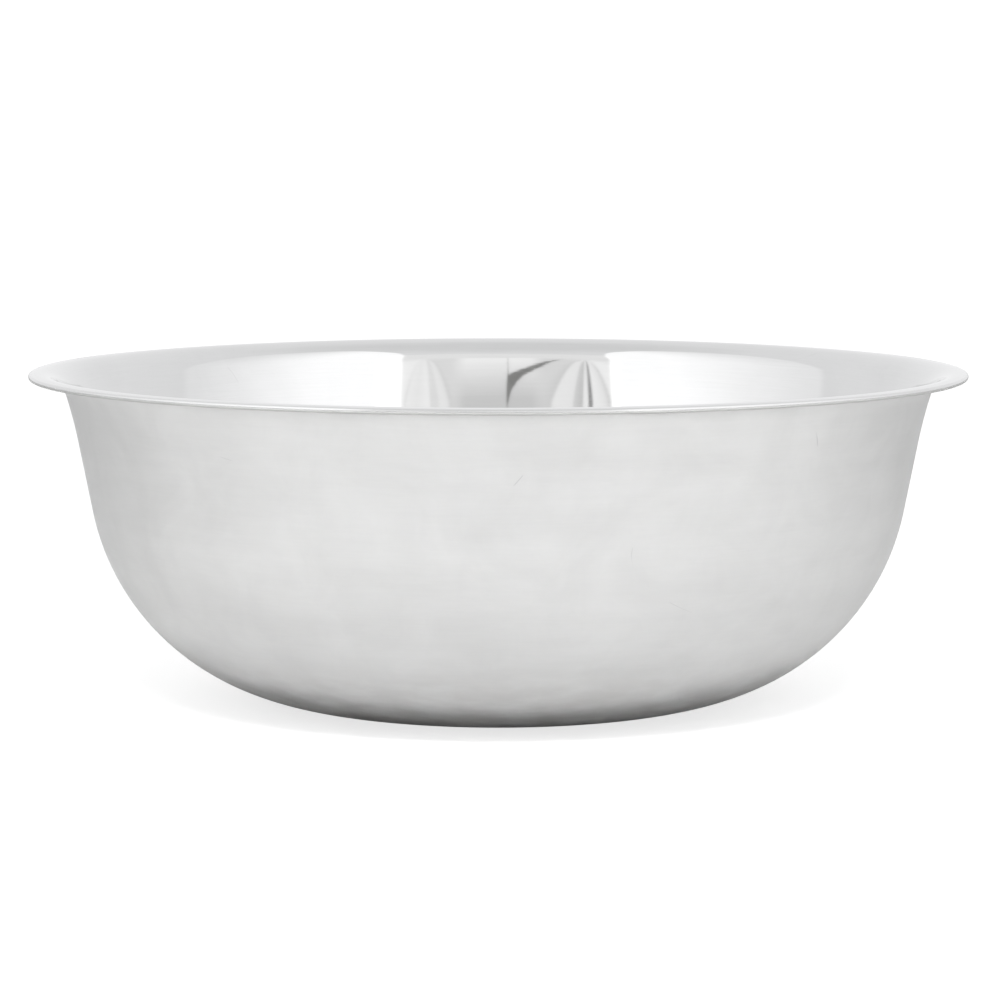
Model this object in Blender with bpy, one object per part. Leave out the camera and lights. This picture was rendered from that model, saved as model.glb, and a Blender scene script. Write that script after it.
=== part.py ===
"""A large stainless steel mixing bowl, formed from one round of sheet.

The bowl stands on the plane Z = 0 with its axis on Z. Its flat base runs into a round body, the body
into a straight wall that leans out a little, and the wall flares into a rim whose edge is turned under.
Everything is one sheet of constant thickness, so the model is one outline, turned once about the axis.
"""

import math
from collections import namedtuple

import bmesh
import bpy
from mathutils import Vector

# Driving dimensions, in metres and radians.
RIM_DIAMETER = 0.565  # across the outside of the turned edge
HEIGHT = 0.200  # from the underside of the base to the top of the rim
BASE_DIAMETER = 0.208  # the flat that the bowl stands on
SHEET = 0.001  # thickness of the steel
WALL_LEAN = math.radians(11.4)  # the straight upper wall, from upright
FLARE_RADIUS = 0.017  # middle of the sheet, where the wall turns out into the rim
RIM_DROOP = math.radians(6.0)  # how far past level the flare goes
FLANGE_WIDTH = 0.0037  # the straight stretch between the flare and the turned edge
EDGE_BEND_RADIUS = 0.0007  # inside of the turned edge
EDGE_RETURN = 0.0025  # how far the sheet runs back under the rim

# How finely the curves are cut into facets.
STEPS_AROUND = 64
STEPS_BODY = 11
STEPS_FLARE = 7
STEPS_DROOP = 1
STEPS_EDGE = 2

STEEL_COLOUR = (0.66, 0.66, 0.65, 1.0)
STEEL_ROUGHNESS = 0.28
CENTRE = Vector((0.0, 0.0, 0.0))
UPWARDS = Vector((0.0, 0.0, 1.0))
WELD = 1e-6  # closer points are one point
SHARP_ANGLE = math.radians(40.0)  # facets that meet at more than this are shaded as an edge

# A point on the middle of the sheet: distance from the axis, height, and the slope of the sheet there.
Point = namedtuple("Point", "radius height slope")


def straight(points, length):
    """Carries the outline on in the direction it already has."""
    last = points[-1]
    radius = last.radius + length * math.cos(last.slope)
    height = last.height + length * math.sin(last.slope)
    points.append(Point(radius, height, last.slope))


def arc(points, bend_radius, end_slope, steps):
    """Carries the outline on round a bend that starts and ends in line with its neighbours."""
    start = points[-1]
    side = 1 if end_slope > start.slope else -1
    for step in range(1, steps + 1):
        slope = start.slope + (end_slope - start.slope) * step / steps
        radius = start.radius + side * bend_radius * (math.sin(slope) - math.sin(start.slope))
        height = start.height - side * bend_radius * (math.cos(slope) - math.cos(start.slope))
        points.append(Point(radius, height, slope))


def rim_points(start):
    """The flare, the flange and the turned edge, from the top of the straight wall."""
    points = [start]
    bend_radius = EDGE_BEND_RADIUS + SHEET / 2
    arc(points, FLARE_RADIUS, 0.0, STEPS_FLARE)
    arc(points, FLARE_RADIUS, -RIM_DROOP, STEPS_DROOP)
    straight(points, FLANGE_WIDTH)
    arc(points, bend_radius, -math.pi / 2, STEPS_EDGE)
    arc(points, bend_radius, -math.pi - RIM_DROOP, STEPS_EDGE)
    straight(points, EDGE_RETURN)
    return points


def body_radius_and_wall_length():
    """The round body and the straight wall that join this base to this rim.

    The body turns from level to the slope of the wall, and the wall carries on in that direction. Between
    them they make up what the rim leaves of the bowl's radius and height, which gives two equations.
    """
    slope = math.pi / 2 - WALL_LEAN
    rim = rim_points(Point(0.0, 0.0, slope))
    rim_reach = max(point.radius for point in rim) + SHEET / 2
    rim_rise = max(point.height for point in rim) + SHEET / 2
    across = RIM_DIAMETER / 2 - BASE_DIAMETER / 2 - rim_reach
    up = HEIGHT - SHEET / 2 - rim_rise
    turn = 1 - math.cos(slope)
    body_radius = (across * math.sin(slope) - up * math.cos(slope)) / turn
    wall_length = (up * math.sin(slope) - across * turn) / turn
    return body_radius, wall_length


def sheet_middle():
    """The middle of the sheet, from the centre of the base to the cut edge under the rim."""
    body_radius, wall_length = body_radius_and_wall_length()
    points = [Point(0.0, SHEET / 2, 0.0)]
    straight(points, BASE_DIAMETER / 2)
    arc(points, body_radius, math.pi / 2 - WALL_LEAN, STEPS_BODY)
    straight(points, wall_length)
    return points + rim_points(points[-1])[1:]


def sheet_side(points, offset):
    """One face of the sheet. A positive offset gives the outside of the bowl."""
    return [
        Vector((p.radius + offset * math.sin(p.slope), 0.0, p.height - offset * math.cos(p.slope)))
        for p in points
    ]


def turned_mesh(name, outline):
    """Turns an outline, whose ends are both on the axis, once round and closes the seam."""
    shape = bmesh.new()
    corners = [shape.verts.new(place) for place in outline]
    edges = [shape.edges.new(pair) for pair in zip(corners, corners[1:])]
    bmesh.ops.spin(
        shape,
        geom=corners + edges,
        cent=CENTRE,
        axis=UPWARDS,
        angle=math.tau,
        steps=STEPS_AROUND,
    )
    bmesh.ops.remove_doubles(shape, verts=shape.verts, dist=WELD)
    bmesh.ops.recalc_face_normals(shape, faces=shape.faces)
    mesh = bpy.data.meshes.new(name)
    shape.to_mesh(mesh)
    shape.free()
    mesh.shade_smooth()
    mesh.set_sharp_from_angle(angle=SHARP_ANGLE)
    return mesh


def steel():
    """Bright stainless steel."""
    material = bpy.data.materials.new("stainless_steel")
    material.use_nodes = True
    shader = material.node_tree.nodes["Principled BSDF"]
    shader.inputs["Base Color"].default_value = STEEL_COLOUR
    shader.inputs["Metallic"].default_value = 1.0
    shader.inputs["Roughness"].default_value = STEEL_ROUGHNESS
    return material


def make_bowl():
    """The whole bowl, as one closed shell."""
    middle = sheet_middle()
    outside = sheet_side(middle, SHEET / 2)
    inside = sheet_side(middle, -SHEET / 2)
    mesh = turned_mesh("bowl", outside + inside[::-1])
    mesh.materials.append(steel())
    bowl = bpy.data.objects.new("bowl", mesh)
    bpy.context.scene.collection.objects.link(bowl)
    return bowl


for leftover in list(bpy.data.objects):
    bpy.data.objects.remove(leftover, do_unlink=True)

make_bowl()
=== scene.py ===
# %% [markdown]
# # A stainless steel mixing bowl
#
# A bowl of this size is one round of sheet steel, pressed or spun over a former, with its edge turned
# under. Outside it is satin, because a belt polished it round and round. Inside it is bright, so that dough
# comes off it. This lesson loads the bowl's measured model as a frame, models the fine bowl in its place,
# gives it two finishes, and builds the small studio that the steel mirrors.

# %% Load the frame
import math
from collections import namedtuple

import bpy
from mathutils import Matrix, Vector


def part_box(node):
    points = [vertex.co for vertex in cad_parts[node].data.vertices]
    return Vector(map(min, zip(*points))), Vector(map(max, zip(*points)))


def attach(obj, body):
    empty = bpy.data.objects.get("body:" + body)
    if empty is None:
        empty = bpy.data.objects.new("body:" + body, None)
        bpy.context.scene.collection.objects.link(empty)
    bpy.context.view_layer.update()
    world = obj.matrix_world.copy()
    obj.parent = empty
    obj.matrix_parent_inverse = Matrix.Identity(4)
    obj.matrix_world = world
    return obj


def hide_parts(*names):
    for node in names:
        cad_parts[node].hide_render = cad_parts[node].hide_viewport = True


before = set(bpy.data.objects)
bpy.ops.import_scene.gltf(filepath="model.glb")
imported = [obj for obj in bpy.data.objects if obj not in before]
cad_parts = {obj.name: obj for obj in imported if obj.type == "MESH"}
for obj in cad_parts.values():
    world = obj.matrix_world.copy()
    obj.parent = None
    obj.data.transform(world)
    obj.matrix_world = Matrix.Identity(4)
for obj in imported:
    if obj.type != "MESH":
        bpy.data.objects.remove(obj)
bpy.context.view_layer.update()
lowest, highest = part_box("bowl")
OUTER_RADIUS = (highest.x - lowest.x) / 2
HEIGHT = highest.z - lowest.z
print(f"The frame's bowl is {2000 * OUTER_RADIUS:.1f} mm across and {1000 * HEIGHT:.1f} mm high")

# %% [markdown]
# ## The outline
#
# A round thing is drawn as half of its section. The section of this bowl is a line and a few bends: the
# flat base, a round body, a straight wall that leans out a little, an easy bend, a flare, and the edge
# rolled under it. It could be typed in as a list of points, but then a change to one size would mean new
# points everywhere. Drawn stretch by stretch, each size keeps its name. We work on the middle of the sheet,
# because then one thickness on both sides gives the two faces of the steel.
#
# The easy bend matters more than its size suggests. A straight wall mirrors one height of the room as a
# stripe, while a wall that bends by a few degrees shows the room's folds and corners as curves.
#
# Each stretch starts in the direction in which the last one ended, so no joint in the line shows a kink. A
# mirror finish would show even a small one as a break in every reflection.

# %% Sizes of the outline, in metres and radians
BASE_RADIUS = 0.104  # the flat that the bowl stands on
SHEET = 0.001  # thickness of the steel
WALL_LEAN = math.radians(11.0)  # the straight wall, from upright
EASE_LEAN = math.radians(17.0)  # the wall at the top of the easy bend
EASE_LENGTH = 0.030
FLARE_RADIUS = 0.017
RIM_DROOP = math.radians(6.0)  # how far past level the flare goes
FLANGE_WIDTH = 0.0030  # the straight stretch between the flare and the rolled edge
EDGE_BEND_RADIUS = 0.0007 + SHEET / 2  # inside of the roll, and half of the sheet
EDGE_RETURN = 0.0025  # how far the sheet runs back under the rim

# How finely each stretch is divided.
BASE_STEPS = 8
BODY_STEPS = 40
WALL_STEPS = 8
EASE_STEPS = 12
FLARE_STEPS = 24
DROOP_STEPS = 3
FLANGE_STEPS = 2
EDGE_STEPS = 8
STEPS_AROUND = 288
print(f"The sheet is {1000 * SHEET:.1f} mm thick and the base {2000 * BASE_RADIUS:.0f} mm across")

# %% Draw the stretches of the outline
Point = namedtuple("Point", "radius height slope")


def straight(points, length, steps):
    """Carries the outline on in the direction it has."""
    start = points[-1]
    for step in range(1, steps + 1):
        along = length * step / steps
        radius = start.radius + along * math.cos(start.slope)
        height = start.height + along * math.sin(start.slope)
        points.append(Point(radius, height, start.slope))


def bend(points, bend_radius, end_slope, steps):
    """Carries the outline on round an arc, in line with the stretch before it."""
    start = points[-1]
    side = 1 if end_slope > start.slope else -1
    for step in range(1, steps + 1):
        slope = start.slope + (end_slope - start.slope) * step / steps
        radius = start.radius + side * bend_radius * (math.sin(slope) - math.sin(start.slope))
        height = start.height - side * bend_radius * (math.cos(slope) - math.cos(start.slope))
        points.append(Point(radius, height, slope))


def rim(start):
    """The easy bend, the flare, the flange and the rolled edge, from the top of the straight wall."""
    points = [start]
    bend(points, EASE_LENGTH / (EASE_LEAN - WALL_LEAN), math.pi / 2 - EASE_LEAN, EASE_STEPS)
    bend(points, FLARE_RADIUS, 0.0, FLARE_STEPS)
    bend(points, FLARE_RADIUS, -RIM_DROOP, DROOP_STEPS)
    straight(points, FLANGE_WIDTH, FLANGE_STEPS)
    bend(points, EDGE_BEND_RADIUS, -math.pi / 2, EDGE_STEPS)
    bend(points, EDGE_BEND_RADIUS, -math.pi - RIM_DROOP, EDGE_STEPS)
    straight(points, EDGE_RETURN, FLANGE_STEPS)
    return points


trial_rim = rim(Point(0.0, 0.0, math.pi / 2 - WALL_LEAN))
print(f"The rim reaches {1000 * max(point.radius for point in trial_rim):.1f} mm out from the straight wall")

# %% [markdown]
# The body has to join the base to this rim in the radius and the height that the frame leaves for it. It
# turns from level to the slope of the wall, and the wall carries on in that direction. That gives two
# equations, one for how far across and one for how far up, and so the body's radius and the wall's length.

# %% Work out the body's radius and the wall's length
wall_slope = math.pi / 2 - WALL_LEAN
across = OUTER_RADIUS - BASE_RADIUS - SHEET / 2 - max(point.radius for point in trial_rim)
up = HEIGHT - SHEET - max(point.height for point in trial_rim)
turn = 1 - math.cos(wall_slope)
body_radius = (across * math.sin(wall_slope) - up * math.cos(wall_slope)) / turn
wall_length = (up * math.sin(wall_slope) - across * turn) / turn
print(f"Body radius {1000 * body_radius:.1f} mm, straight wall {1000 * wall_length:.1f} mm")

# %% Put the outline together
outline = [Point(0.0, SHEET / 2, 0.0)]
straight(outline, BASE_RADIUS, BASE_STEPS)
bend(outline, body_radius, wall_slope, BODY_STEPS)
straight(outline, wall_length, WALL_STEPS)
outline += rim(outline[-1])[1:]
print(f"The outline has {len(outline)} points")

# %% [markdown]
# ## From outline to sheet
#
# Blender can't add a single point by itself, so we add a small plane, merge it to one point, and pull that
# point along the outline with Extrude. Spin then carries the line once round the axis, in the way that a
# spinning lathe forms the real bowl. The Screw modifier would give the same shape, but Spin leaves nothing
# to apply.
#
# The last step of the spin falls on the first, and the copies of the point on the axis fall on each other,
# so doubles are merged. Normals are put right before Solidify gives the sheet its thickness, because
# afterwards Blender can't tell the two walls of a shell apart.


# %% Draw a line in edit mode
def leave_nothing_selected():
    """Leaves edit mode and deselects all, because an operator acts on whatever is selected."""
    if bpy.context.object and bpy.context.object.mode != "OBJECT":
        bpy.ops.object.mode_set(mode="OBJECT")
    bpy.ops.object.select_all(action="DESELECT")


def drawn_line(name, places):
    """A new object in edit mode, with one line of edges through the places given."""
    leave_nothing_selected()
    bpy.ops.mesh.primitive_plane_add(size=SHEET, location=places[0])
    line = bpy.context.object
    line.name = name
    bpy.ops.object.transform_apply(location=True, rotation=True, scale=True)
    bpy.ops.object.mode_set(mode="EDIT")
    bpy.ops.mesh.merge(type="CENTER")
    for before, after in zip(places, places[1:]):
        bpy.ops.mesh.extrude_region_move(TRANSFORM_OT_translate={"value": Vector(after) - Vector(before)})
    bpy.ops.mesh.select_all(action="SELECT")
    return line


bowl = drawn_line("mixing_bowl", [(point.radius, 0.0, point.height) for point in outline])
print(f"{bowl.name} is a line that starts on the axis, {1000 * outline[0].height:.1f} mm up")

# %% Turn the outline
MERGE = 1e-6  # closer points are one point
bpy.ops.mesh.spin(steps=STEPS_AROUND, angle=math.tau, center=(0, 0, 0), axis=(0, 0, 1))
bpy.ops.mesh.select_all(action="SELECT")
bpy.ops.mesh.remove_doubles(threshold=MERGE)
bpy.ops.mesh.normals_make_consistent(inside=False)
bpy.ops.object.mode_set(mode="OBJECT")
print(f"The turned sheet has {len(bowl.data.vertices)} points and {len(bowl.data.polygons)} faces")

# %% [markdown]
# ## Thickness
#
# The steel is one millimetre all over. Both of its faces could be drawn in the outline, but two lines that
# must stay side by side are easy to get wrong, so the modifier makes the second one. Solidify with no
# offset puts half of the sheet on each side of the line that we turned. Even thickness keeps it one
# millimetre round the tight rolled edge too. The modifier can give the new wall a material of its own: the
# outside takes the material one slot further on, and so does the cut edge.
#
# The bright face carries on over the rim and round the rolled edge. Nobody polishes the side of that roll
# that faces the floor, so its faces that look down go back to satin.

# %% Give the sheet its thickness
SHARP_ANGLE = math.radians(40)
BRIGHT, SATIN = 0, 1
leave_nothing_selected()
bowl.select_set(True)
bpy.context.view_layer.objects.active = bowl
bright_steel = bpy.data.materials.new("bright_steel_inside")
satin_steel = bpy.data.materials.new("satin_steel_outside")
bowl.data.materials.append(bright_steel)
bowl.data.materials.append(satin_steel)
thickness = bowl.modifiers.new("thickness", "SOLIDIFY")
thickness.thickness = SHEET
thickness.offset = 0.0
thickness.use_even_offset = True
thickness.material_offset = SATIN
thickness.material_offset_rim = SATIN
bpy.ops.object.modifier_apply(modifier="thickness")
bpy.ops.object.shade_smooth_by_angle(angle=SHARP_ANGLE)
for face in bowl.data.polygons:
    if face.material_index == BRIGHT and face.normal.z < 0:
        face.material_index = SATIN
bright_faces = sum(face.material_index == BRIGHT for face in bowl.data.polygons)
print(f"Of the bowl's {len(bowl.data.polygons)} faces, {bright_faces} are bright")

# %% [markdown]
# ## Marks in the steel
#
# Bare steel is never one even grey. A polishing belt leaves fine lines that run round the bowl, hands leave
# soft smudges, stacking leaves a few hairline scratches, water dries into marks low on the body, and the
# rolled edge is rubbed dull. An image wrapped round the bowl could hold all that, but it would blur close
# up and show a seam. Noise textures do neither. Each kind of mark is a node group with its own inputs, so
# that both finishes can use it in their own measure.
#
# The lines need coordinates that follow the turned shape. Distance from the axis and height say which ring
# a point is on. The direction from the axis says where it is round the ring, and it has no seam, which an
# angle would have. Together they are four numbers, so a noise texture in four dimensions reads them. A
# point on the axis itself has no direction, so the distance is never taken as less than the sheet's
# thickness.


# %% Helpers for node trees
def node(tree, kind, settings=None, **inputs):
    """Adds a node, with settings on the node itself and values or links for its inputs."""
    made = tree.nodes.new(kind)
    for name, value in (settings or {}).items():
        setattr(made, name, value)
    for name, value in inputs.items():
        socket = made.inputs[int(name[1:])] if name[0] == "_" else made.inputs[name.replace("_", " ")]
        if isinstance(value, bpy.types.NodeSocket):
            tree.links.new(value, socket)
        else:
            socket.default_value = value
    return made


def maths(tree, operation, *values):
    """One Math node, which gives back its result."""
    inputs = {f"_{place}": value for place, value in enumerate(values)}
    return node(tree, "ShaderNodeMath", {"operation": operation}, **inputs).outputs[0]


def spread(tree, value, low, high, to_low=0.0, to_high=1.0, kind="LINEAR"):
    """Stretches the part of a value between low and high to a new range, and cuts off the rest."""
    inputs = {"Value": value, "From Min": low, "From Max": high, "To Min": to_low, "To Max": to_high}
    return node(tree, "ShaderNodeMapRange", {"interpolation_type": kind}, **inputs).outputs[0]


def mixed(tree, mask, first, second):
    """A colour between two, by a mask."""
    mix = node(tree, "ShaderNodeMix", {"data_type": "RGBA"}, _0=mask, _6=first, _7=second)
    return mix.outputs[2]


def new_group(name, inputs, outputs):
    """An empty node group, whose sockets are all plain numbers."""
    group = bpy.data.node_groups.new(name, "ShaderNodeTree")
    for label, value in inputs.items():
        socket = group.interface.new_socket(label, in_out="INPUT", socket_type="NodeSocketFloat")
        socket.default_value = value
    for label in outputs:
        group.interface.new_socket(label, in_out="OUTPUT", socket_type="NodeSocketFloat")
    start = group.nodes.new("NodeGroupInput")
    end = group.nodes.new("NodeGroupOutput")
    return group, start.outputs, end.inputs


Place = namedtuple("Place", "coordinates radius height east north")


def place_of_point(tree):
    """Where a point is: its coordinates, its distance from the axis, its height and its direction."""
    coordinates = node(tree, "ShaderNodeTexCoord").outputs["Object"]
    x, y, z = node(tree, "ShaderNodeSeparateXYZ", Vector=coordinates).outputs
    across = maths(tree, "ADD", maths(tree, "POWER", x, 2.0), maths(tree, "POWER", y, 2.0))
    radius = maths(tree, "MAXIMUM", maths(tree, "SQRT", across), SHEET)
    return Place(coordinates, radius, z, maths(tree, "DIVIDE", x, radius), maths(tree, "DIVIDE", y, radius))


print("The helpers make single nodes, colour mixes and empty groups")


# %% Noise that is stretched round the rings
def ring_noise(tree, where, across_lines, along_lines, detail):
    """Noise with so many lines in a metre across the rings, and so many breaks round a ring."""
    vector = node(
        tree,
        "ShaderNodeCombineXYZ",
        X=maths(tree, "MULTIPLY", where.east, along_lines),
        Y=maths(tree, "MULTIPLY", where.north, along_lines),
        Z=maths(tree, "MULTIPLY", where.height, across_lines),
    ).outputs[0]
    ring = maths(tree, "MULTIPLY", where.radius, across_lines)
    settings = {"noise_dimensions": "4D"}
    noise = node(tree, "ShaderNodeTexNoise", settings, Vector=vector, W=ring, Scale=1.0, Detail=detail)
    return noise.outputs[0]


# A band is as wide as this many lines.
BAND_SHARE = 12.0
BAND_BREAKS = 2.5
group, given, result = new_group(
    "belt_lines", {"Lines per Metre": 900.0, "Breaks per Turn": 12.0}, ["Lines", "Bands"]
)
where = place_of_point(group)
fine = ring_noise(group, where, given["Lines per Metre"], given["Breaks per Turn"], 2.0)
bands_per_metre = maths(group, "DIVIDE", given["Lines per Metre"], BAND_SHARE)
broad = ring_noise(group, where, bands_per_metre, BAND_BREAKS, 3.0)
group.links.new(spread(group, fine, 0.3, 0.7), result["Lines"])
group.links.new(spread(group, broad, 0.3, 0.7), result["Bands"])
print(f"{group.name}: {len(group.nodes)} nodes")

# %% [markdown]
# Smudges are round clouds, so they use plain noise. Water marks are wavy and run round the bowl, so they
# use the ring noise again, with few lines that break often, and they fade out up the body.

# %% Smudges, and the faint clouds of an uneven polish
group, given, result = new_group("smudges", {"Size": 0.06, "Softness": 0.2}, ["Mask"])
where = place_of_point(group)
scale = maths(group, "DIVIDE", 1.0, given["Size"])
clouds = node(
    group,
    "ShaderNodeTexNoise",
    Vector=where.coordinates,
    Scale=scale,
    Detail=4.0,
    Roughness=0.55,
    Distortion=0.6,
).outputs[0]
low = maths(group, "SUBTRACT", 0.5, given["Softness"])
high = maths(group, "ADD", 0.5, given["Softness"])
group.links.new(spread(group, clouds, low, high), result["Mask"])
print(f"{group.name}: {len(group.nodes)} nodes")

# %% Marks that water leaves as it dries
WATER_LINES = 70.0
WATER_BREAKS = 7.0
group, given, result = new_group("water_marks", {"Top": 0.06, "Bottom": 0.02}, ["Mask"])
where = place_of_point(group)
wavy = ring_noise(group, where, WATER_LINES, WATER_BREAKS, 5.0)
low = spread(group, where.height, given["Top"], given["Bottom"])
group.links.new(maths(group, "MULTIPLY", low, spread(group, wavy, 0.35, 0.6)), result["Mask"])
print(f"{group.name}: {len(group.nodes)} nodes")

# %% [markdown]
# A scratch could be modelled as a groove, but a hairline is far finer than any mesh. A noise texture
# crosses its middle value along long thin curves. A narrow slice round that value gives lines as fine as
# hairs, and a second noise keeps only short pieces of them.

# %% Hairline scratches
SCRATCH_SCALE = 11.0
PATCH_SCALE = 45.0
PATCH_EDGE = 0.05
group, given, result = new_group("hairlines", {"Width": 0.004, "Amount": 0.4}, ["Mask"])
where = place_of_point(group)
curves = node(
    group, "ShaderNodeTexNoise", Vector=where.coordinates, Scale=SCRATCH_SCALE, Detail=0.0, Distortion=0.2
).outputs[0]
distance = maths(group, "ABSOLUTE", maths(group, "SUBTRACT", curves, 0.5))
line = spread(group, distance, 0.0, given["Width"], 1.0, 0.0)
patches = node(
    group, "ShaderNodeTexNoise", Vector=where.coordinates, Scale=PATCH_SCALE, Detail=1.0
).outputs[0]
threshold = maths(group, "SUBTRACT", 1.0, given["Amount"])
kept = spread(group, patches, threshold, maths(group, "ADD", threshold, PATCH_EDGE))
group.links.new(maths(group, "MULTIPLY", line, kept), result["Mask"])
print(f"{group.name}: {len(group.nodes)} nodes")

# %% [markdown]
# The rolled edge has one mark of its own, and painted shade under it. Its outside is rubbed wherever the
# bowl is carried or stacked, which takes the mirror off it. Just below the edge, where it turns back towards
# the wall, the outside is painted a darker grey as shade, standing in for the shadow under the roll.

# %% Wear on the rolled edge
WEAR_SCALE = 60.0
group, given, result = new_group("edge_wear", {"Edge Radius": OUTER_RADIUS, "Reach": 0.003}, ["Mask"])
where = place_of_point(group)
inwards = maths(group, "SUBTRACT", given["Edge Radius"], where.radius)
near = maths(group, "SUBTRACT", 1.0, maths(group, "DIVIDE", inwards, given["Reach"]))
patchy = node(
    group, "ShaderNodeTexNoise", Vector=where.coordinates, Scale=WEAR_SCALE, Detail=3.0
).outputs[0]
group.links.new(spread(group, maths(group, "ADD", near, patchy), 0.7, 1.3), result["Mask"])
print(f"{group.name}: {len(group.nodes)} nodes")

# %% Painted shade under the edge
# Heights where the painted shade under the rolled edge begins and where it is full.
RIM_SHADE_FROM, RIM_SHADE_FULL = HEIGHT - 0.0022, HEIGHT - 0.0030
group, given, result = new_group("painted_shade_under_rim", {"Edge Radius": OUTER_RADIUS, "Reach": 0.006}, ["Mask"])
where = place_of_point(group)
inwards = maths(group, "SUBTRACT", given["Edge Radius"], where.radius)
near = spread(group, inwards, given["Reach"], 0.0)
low = spread(group, where.height, RIM_SHADE_FROM, RIM_SHADE_FULL)
group.links.new(maths(group, "MULTIPLY", near, low), result["Mask"])
print(f"{group.name}: {len(group.nodes)} nodes")

# %% [markdown]
# ## The two finishes
#
# Both finishes are the same metal, so they have nearly the same colour. What differs is how rough they are.
# A belt's fine scratches spread a reflection until only light and dark are left of it, and the bright
# inside keeps every edge. Each finish adds its marks up to one tone between 0 and 1, and that tone shifts
# colour and roughness together, because a smudge is both a little paler and a little duller than the steel
# round it.
#
# Brushed steel is often made with the shader's Anisotropic value. It isn't used here, because it needs a
# direction at every point, and the belt on this bowl was so fine that its reflections hardly stretch.


# %% A material that uses the groups
def marks(tree, name, **values):
    """Places one of the groups above, with this finish's own values."""
    inputs = {label.replace("_", " "): value for label, value in values.items()}
    settings = {"node_tree": bpy.data.node_groups[name]}
    return node(tree, "ShaderNodeGroup", settings, **inputs).outputs


def weighed(tree, *shares):
    """The sum of several masks, each times its share."""
    total = 0.0
    for mask, share in shares:
        total = maths(tree, "MULTIPLY_ADD", mask, share, total)
    return total


def nodes_of(material):
    """The nodes of a material, and its shader."""
    material.use_nodes = True
    tree = material.node_tree
    return tree, tree.nodes["Principled BSDF"]


def all_over(shader, **values):
    """Sets what is the same all over a piece, on the shader's own sockets."""
    for label, value in values.items():
        shader.inputs[label.replace("_", " ")].default_value = value


def ripple(tree, shader, height, strength, depth):
    """Lets a mask lift the surface by a very small depth."""
    bump = node(tree, "ShaderNodeBump", Strength=strength, Distance=depth, Height=height)
    tree.links.new(bump.outputs[0], shader.inputs["Normal"])


print(f"{len(bpy.data.node_groups)} groups of marks are ready to be placed")

# %% Satin steel for the outside
SATIN_DARK = (0.70, 0.70, 0.694, 1.0)
SATIN_PALE = (0.80, 0.80, 0.794, 1.0)
SCRATCH_COLOUR = (0.60, 0.60, 0.60, 1.0)
WATER_COLOUR = (0.62, 0.61, 0.60, 1.0)
RIM_SHADE_COLOUR = (0.56, 0.56, 0.55, 1.0)
tree, shader = nodes_of(satin_steel)
all_over(shader, Metallic=1.0)
belt = marks(tree, "belt_lines", Lines_per_Metre=900.0, Breaks_per_Turn=14.0)
clouds = marks(tree, "smudges", Size=0.04, Softness=0.2)["Mask"]
hairs = marks(tree, "hairlines", Width=0.0016, Amount=0.33)["Mask"]
water = marks(tree, "water_marks", Top=0.05, Bottom=0.012)["Mask"]
# Painted shade: a darker grey band on the outside just under the rolled edge, where its shadow falls.
rim_crease_shade = marks(tree, "painted_shade_under_rim")["Mask"]
tone = weighed(tree, (belt["Lines"], 0.12), (belt["Bands"], 0.33), (clouds, 0.55))
colour = mixed(tree, tone, SATIN_DARK, SATIN_PALE)
colour = mixed(tree, hairs, colour, SCRATCH_COLOUR)
colour = mixed(tree, water, colour, WATER_COLOUR)
# The band under the rolled edge is painted darker, as shade.
colour = mixed(tree, rim_crease_shade, colour, RIM_SHADE_COLOUR)
tree.links.new(colour, shader.inputs["Base Color"])
tree.links.new(spread(tree, tone, 0.0, 1.0, 0.34, 0.44), shader.inputs["Roughness"])
ripple(tree, shader, belt["Lines"], strength=0.25, depth=0.00002)
print(f"{satin_steel.name}: {len(tree.nodes)} nodes")

# %% Bright steel for the inside
BRIGHT_DARK = (0.70, 0.70, 0.70, 1.0)
BRIGHT_PALE = (0.74, 0.74, 0.74, 1.0)
WEAR_ROUGHNESS = 0.12
tree, shader = nodes_of(bright_steel)
all_over(shader, Metallic=1.0)
belt = marks(tree, "belt_lines", Lines_per_Metre=1200.0, Breaks_per_Turn=8.0)
clouds = marks(tree, "smudges", Size=0.07, Softness=0.15)["Mask"]
hairs = marks(tree, "hairlines", Width=0.0012, Amount=0.33)["Mask"]
wear = marks(tree, "edge_wear")["Mask"]
tone = weighed(tree, (belt["Lines"], 0.4), (clouds, 0.6))
colour = mixed(tree, tone, BRIGHT_DARK, BRIGHT_PALE)
colour = mixed(tree, hairs, colour, SCRATCH_COLOUR)
tree.links.new(colour, shader.inputs["Base Color"])
rough = spread(tree, tone, 0.0, 1.0, 0.04, 0.07)
tree.links.new(maths(tree, "MULTIPLY_ADD", wear, WEAR_ROUGHNESS, rough), shader.inputs["Roughness"])
ripple(tree, shader, belt["Lines"], strength=0.1, depth=0.00001)
print(f"{bright_steel.name}: {len(tree.nodes)} nodes")

# %% [markdown]
# ## The piece and its frame
#
# A mixing bowl has no part that moves, so there is one body. The fine bowl rides on it, stands for the
# frame's plain bowl, and takes its place in the same spot.

# %% Tie the piece to the frame
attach(bowl, "root")
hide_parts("bowl")
print(f"{bowl.name} takes the place of the frame's bowl")

# %% [markdown]
# ## The floor
#
# Steel shows what is round it, so the studio makes most of its looks. The outside of the bowl leans over
# the floor and mirrors little else. A floor that is as white as it looks would make the steel white too, so
# the floor has two faces: a middling grey for light that bounces, and a glowing one for the camera. The
# glow fills the bowl's shadow, so the shadow stays faint. A floor of one paint and a weaker lamp would be
# simpler, but then the steel and the floor couldn't both be right.

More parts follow.
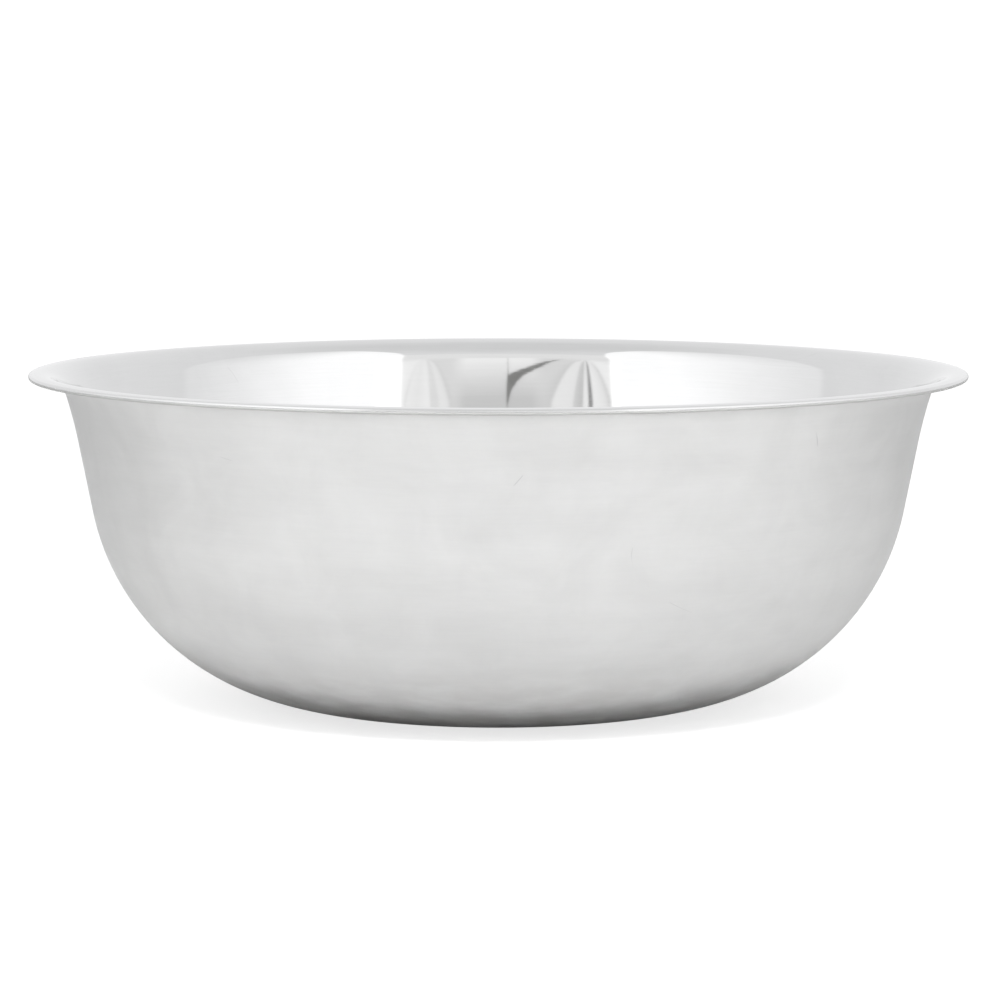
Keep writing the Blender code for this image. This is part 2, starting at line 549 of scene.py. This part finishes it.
# %% Floor
FLOOR_WIDTH = 40.0
FLOOR_GLOW = 0.74
MIRRORED_PAINT = (0.60, 0.60, 0.60, 1.0)
SEEN_PAINT = (0.35, 0.35, 0.35, 1.0)
leave_nothing_selected()
bpy.ops.mesh.primitive_plane_add(size=FLOOR_WIDTH)
floor = bpy.context.object
floor.name = "studio_floor"
floor_paint = bpy.data.materials.new("pale_floor")
tree, shader = nodes_of(floor_paint)
all_over(shader, Roughness=0.9, Specular_IOR_Level=0.0, Emission_Color=(1.0, 1.0, 1.0, 1.0))
for_camera = node(tree, "ShaderNodeLightPath").outputs["Is Camera Ray"]
paint = mixed(tree, for_camera, MIRRORED_PAINT, SEEN_PAINT)
tree.links.new(paint, shader.inputs["Base Color"])
tree.links.new(maths(tree, "MULTIPLY", for_camera, FLOOR_GLOW), shader.inputs["Emission Strength"])
floor.data.materials.append(floor_paint)
print(f"{floor.name} is {FLOOR_WIDTH:.0f} m square")

# %% [markdown]
# ## The room
#
# The world stands for the white walls and ceiling of the room. They could be planes, but nothing here needs
# their corners, and a world takes next to no time to render. It is a trace cooler than the lamps, and
# darker straight overhead, where a studio has its rails. The flare of the rim mirrors that part as a grey
# ring. The camera sees plain white instead.

# %% Room
ROOM_STRENGTH = 0.95
WHITE_STRENGTH = 1.1
WALL_COLOUR = (0.99, 0.993, 1.0, 1.0)
OVERHEAD_COLOUR = (0.885, 0.888, 0.893, 1.0)
OVERHEAD_FROM, OVERHEAD_FULL = 0.80, 0.97
world = bpy.data.worlds.new("studio")
bpy.context.scene.world = world
world.use_nodes = True
tree = world.node_tree
room = tree.nodes["Background"]
room.inputs["Strength"].default_value = ROOM_STRENGTH
heading = node(tree, "ShaderNodeTexCoord").outputs["Generated"]
rise = node(tree, "ShaderNodeSeparateXYZ", Vector=heading).outputs[2]
overhead = spread(tree, rise, OVERHEAD_FROM, OVERHEAD_FULL)
colour = mixed(tree, overhead, WALL_COLOUR, OVERHEAD_COLOUR)
tree.links.new(colour, room.inputs["Color"])
white = node(tree, "ShaderNodeBackground", Color=(1.0, 1.0, 1.0, 1.0), Strength=WHITE_STRENGTH)
for_camera = node(tree, "ShaderNodeLightPath").outputs["Is Camera Ray"]
choice = node(tree, "ShaderNodeMixShader", _0=for_camera, _1=room.outputs[0], _2=white.outputs[0])
tree.links.new(choice.outputs[0], tree.nodes["World Output"].inputs["Surface"])
print(f"The room glows at {ROOM_STRENGTH}, and the camera sees {WHITE_STRENGTH}")

# %% [markdown]
# ## The lamps
#
# A softbox stands on each side, so close that the inside of the bowl mirrors it as a tall window. A plain
# area light would do for the light itself, but a mirror shows its hard outline, so this one has nodes. Its
# cloth is brightest near the camera and dims towards the back, which gives the reflection its soft far end,
# and its upper corners are round. The two boxes aren't placed quite alike, as in most studios.
#
# A third lamp lights only the floor in front of the bowl. The outside mirrors that patch as its broad pale
# middle. This lamp has a narrow spread and is left out of reflections, so it shows nowhere itself.


# %% Lamps
def area_light(name, location, aim, width, tall, glow):
    """A rectangular light that faces a point, as bright as asked for whatever its size."""
    light = bpy.data.lights.new(name, "AREA")
    light.shape = "RECTANGLE"
    light.size = width
    light.size_y = tall
    light.energy = math.pi * width * tall * glow
    lamp = bpy.data.objects.new(name, light)
    bpy.context.scene.collection.objects.link(lamp)
    lamp.location = location
    lamp.rotation_euler = (Vector(location) - Vector(aim)).to_track_quat("Z", "Y").to_euler()
    lamp.visible_camera = False
    return lamp


FILL_PLACE = (0.1, -2.6, 2.4)
FILL_AIM = (0.06, -0.42, 0.0)
FILL_SPREAD = math.radians(22)
fill = area_light("floor_fill", FILL_PLACE, FILL_AIM, width=2.0, tall=0.4, glow=1.9)
fill.data.spread = FILL_SPREAD
fill.visible_glossy = False
print(f"{fill.name} stands {fill.location.z:.1f} m up")

# %% Softboxes
# Where a box starts and ends above the floor, how large its round corners are, how much of their outline is
# soft, and how far from the camera its cloth begins to dim.
BOX_LOW, BOX_HIGH = 0.4, 3.9
CORNER_WIDTH, CORNER_HEIGHT = 1.25, 2.4
SOFT_EDGE = 0.12
DIMS_FROM = -1.0


def softbox(name, side, near, far, glow, least):
    """A softbox beside the bowl, with round upper corners, that dims towards its far end."""
    middle = Vector((side, (near + far) / 2, (BOX_LOW + BOX_HIGH) / 2))
    width = far - near
    lamp = area_light(name, middle, (0.0, middle.y, middle.z), width, BOX_HIGH - BOX_LOW, glow)
    lamp.data.use_nodes = True
    tree = lamp.data.node_tree
    point = node(tree, "ShaderNodeNewGeometry").outputs["Position"]
    _, y, z = node(tree, "ShaderNodeSeparateXYZ", Vector=point).outputs
    sideways = maths(tree, "ABSOLUTE", maths(tree, "SUBTRACT", y, middle.y))
    sideways = spread(tree, sideways, width / 2 - CORNER_WIDTH, width / 2)
    upwards = spread(tree, z, BOX_HIGH - CORNER_HEIGHT, BOX_HIGH)
    corner = maths(tree, "ADD", maths(tree, "POWER", sideways, 2.0), maths(tree, "POWER", upwards, 2.0))
    rounded = spread(tree, corner, 1.0 - SOFT_EDGE, 1.0, 1.0, 0.0)
    dimmed = spread(tree, y, DIMS_FROM, far, 1.0, least, "SMOOTHSTEP")
    tree.links.new(maths(tree, "MULTIPLY", rounded, dimmed), tree.nodes["Emission"].inputs["Strength"])
    return lamp


left = softbox("softbox_left", side=-1.5, near=-2.14, far=0.68, glow=0.45, least=0.25)
right = softbox("softbox_right", side=1.5, near=-2.6, far=0.55, glow=0.43, least=0.15)
print(f"The softboxes stand {right.location.x - left.location.x:.1f} m apart")

# %% [markdown]
# ## The cloth behind the camera
#
# Between the two windows the bowl mirrors what is behind the camera: a white cloth, gathered at its two
# upper corners. Folds fan down from each corner. The bowl is hollow, so it swaps left and right. A
# simulated cloth would fold as it likes and take minutes, and only its light and shade are ever seen, so a
# flat plane with painted folds serves better.
#
# A fold is a stripe that starts at the gathering point. How far a place is across the fan is its distance
# to the side over the square root of its distance down, which bends the stripes as hanging cloth does. A
# colour ramp turns that number into light and shade, with one stop at each edge of a fold. In the middle
# the cloth hangs smooth, lighter towards the top.


# %% Cloth
def only_mirrored(prop):
    """Makes a stage prop that the camera doesn't see and that casts no shadow."""
    prop.visible_camera = False
    prop.visible_shadow = False


CLOTH_Y = -3.3
CLOTH_WIDTH, CLOTH_HEIGHT = 5.2, 4.5
leave_nothing_selected()
bpy.ops.mesh.primitive_plane_add(size=1.0, rotation=(math.pi / 2, 0.0, 0.0))
cloth = bpy.context.object
cloth.name = "studio_cloth"
cloth.scale = (CLOTH_WIDTH, CLOTH_HEIGHT, 1.0)
cloth.location = (0.0, CLOTH_Y, CLOTH_HEIGHT / 2)
bpy.ops.object.transform_apply(location=True, rotation=True, scale=True)
only_mirrored(cloth)
print(f"{cloth.name} hangs {-CLOTH_Y} m in front of the bowl, behind the camera")

# %% Folds in the cloth
FAN_OUT, FAN_IN = -0.9, 1.1  # how far the folds reach across the fan
LEAST_DROP = 0.02  # a place this close below the gathering point, or above it, counts as this far down
GATHER_HEIGHT = 2.38
LEFT_GATHER, RIGHT_GATHER = -1.71, 1.42

# Each fold edge: how far across the fan it is, and how light the cloth is there.
LEFT_FOLDS = [
    (-0.90, 0.98), (-0.66, 0.96), (-0.57, 0.72), (-0.45, 0.88), (-0.20, 0.97), (-0.135, 1.0),
    (-0.12, 0.25), (-0.04, 0.28), (-0.02, 0.98), (0.08, 0.95), (0.11, 0.60), (0.28, 0.72),
    (0.32, 0.90), (0.68, 0.92), (0.74, 0.70), (0.95, 0.76), (1.10, 0.78),
]
RIGHT_FOLDS = [
    (-0.90, 0.96), (-0.46, 0.96), (-0.39, 0.80), (-0.36, 0.94), (-0.12, 0.89), (0.14, 0.97),
    (0.155, 0.76), (0.18, 0.80), (0.30, 0.80), (0.33, 0.90), (0.48, 0.88), (0.52, 0.70),
    (0.62, 0.78), (1.10, 0.80),
]


def folds(tree, x, z, gather, side, edges):
    """The lightness of the folds that fan down from one gathering point."""
    down = maths(tree, "MAXIMUM", maths(tree, "SUBTRACT", GATHER_HEIGHT, z), LEAST_DROP)
    inwards = maths(tree, "MULTIPLY", maths(tree, "SUBTRACT", x, gather), -side)
    across = maths(tree, "DIVIDE", inwards, maths(tree, "SQRT", down))
    ramp = node(tree, "ShaderNodeValToRGB", Fac=spread(tree, across, FAN_OUT, FAN_IN))
    stops = ramp.color_ramp.elements
    for number, (fan_place, lightness) in enumerate(edges):
        position = (fan_place - FAN_OUT) / (FAN_IN - FAN_OUT)
        stop = stops[number] if number < 2 else stops.new(position)
        stop.position = position
        stop.color = (lightness, lightness, lightness, 1.0)
    return ramp.outputs[0]


print(f"The left fan has {len(LEFT_FOLDS)} fold edges, the right one {len(RIGHT_FOLDS)}")

# %% Paint the cloth
CLOTH_GLOW = 1.2
SMOOTH_LOW, SMOOTH_HIGH = 1.33, 2.2
SMOOTH_WIDTH, FOLDS_FROM = 0.6, 0.85
ABOVE_COLOUR = (0.86, 0.86, 0.86, 1.0)
cloth_paint = bpy.data.materials.new("gathered_cloth")
tree, shader = nodes_of(cloth_paint)
all_over(shader, Base_Color=(0.0, 0.0, 0.0, 1.0), Specular_IOR_Level=0.0, Emission_Strength=CLOTH_GLOW)
coordinates = node(tree, "ShaderNodeTexCoord").outputs["Object"]
x, _, z = node(tree, "ShaderNodeSeparateXYZ", Vector=coordinates).outputs
left_fan = folds(tree, x, z, LEFT_GATHER, -1, LEFT_FOLDS)
right_fan = folds(tree, x, z, RIGHT_GATHER, 1, RIGHT_FOLDS)
draped = mixed(tree, spread(tree, x, -0.1, 0.1), left_fan, right_fan)
smooth = spread(tree, z, SMOOTH_LOW, SMOOTH_HIGH, 0.65, 0.97)
middle = spread(tree, maths(tree, "ABSOLUTE", x), SMOOTH_WIDTH, FOLDS_FROM, 1.0, 0.0)
draped = mixed(tree, middle, draped, smooth)
above = spread(tree, z, GATHER_HEIGHT - 0.05, GATHER_HEIGHT + 0.12)
draped = mixed(tree, above, draped, ABOVE_COLOUR)
tree.links.new(draped, shader.inputs["Emission Color"])
cloth.data.materials.append(cloth_paint)
print(f"{cloth_paint.name}: {len(tree.nodes)} nodes")

# %% [markdown]
# The cloth is in two halves, and the one on the left hangs a little away from the other. The gap between
# them is a curved dark blade that points to the left gathering point. It could be painted on the cloth too,
# but a shape with two curved sides is easier drawn than worked out: the same line tool goes once round it,
# the ends are merged, and the line is filled.

# %% The gap in the cloth
# How far the gap stands in front of the cloth, and its corners: across and up.
GAP_AHEAD = 0.02
GAP = [
    (-0.14, 1.25), (-0.145, 1.60), (-0.165, 1.90), (-0.17, 2.60), (-0.18, 1.84), (-0.38, 1.95),
    (-0.76, 2.14), (-1.21, 2.38), (-0.82, 2.08), (-0.46, 1.84), (-0.33, 1.68), (-0.23, 1.50),
    (-0.17, 1.25),
]
gap = drawn_line("studio_gap", [(x, CLOTH_Y + GAP_AHEAD, z) for x, z in GAP + GAP[:1]])
bpy.ops.mesh.remove_doubles(threshold=MERGE)
bpy.ops.mesh.edge_face_add()
bpy.ops.object.mode_set(mode="OBJECT")
gap_paint = bpy.data.materials.new("dark_gap")
tree, shader = nodes_of(gap_paint)
all_over(shader, Base_Color=(0.30, 0.30, 0.29, 1.0), Roughness=0.9)
gap.data.materials.append(gap_paint)
only_mirrored(gap)
print(f"{gap.name} has {len(gap.data.vertices)} corners and {len(gap.data.polygons)} face")

# %% [markdown]
# ## The camera
#
# The rim looks like a flat ellipse, so the camera stands far off, eight rim radii from the axis, and only a
# little above the rim. A long lens fills the frame with the bowl from there. A wide lens close by could
# fill it too, but it would make the near side of the rim look much larger than the far side. The Standard
# view keeps white white, where a film-like view would turn it grey.

# %% Camera
CAMERA_RADII = 8
CAMERA_ASIDE = 0.001
CAMERA_HEIGHT = 0.3704
CAMERA_TILT = math.radians(6.32)
camera = bpy.data.objects.new("camera", bpy.data.cameras.new("camera"))
bpy.context.scene.collection.objects.link(camera)
camera.data.lens = 134.7
camera.data.sensor_width = 36.0
camera.location = (CAMERA_ASIDE, -CAMERA_RADII * OUTER_RADIUS, CAMERA_HEIGHT)
camera.rotation_euler = (math.pi / 2 - CAMERA_TILT, 0.0, 0.0)
bpy.context.scene.camera = camera
bpy.context.scene.view_settings.view_transform = "Standard"
print(f"The camera stands {-camera.location.y:.2f} m from the axis")
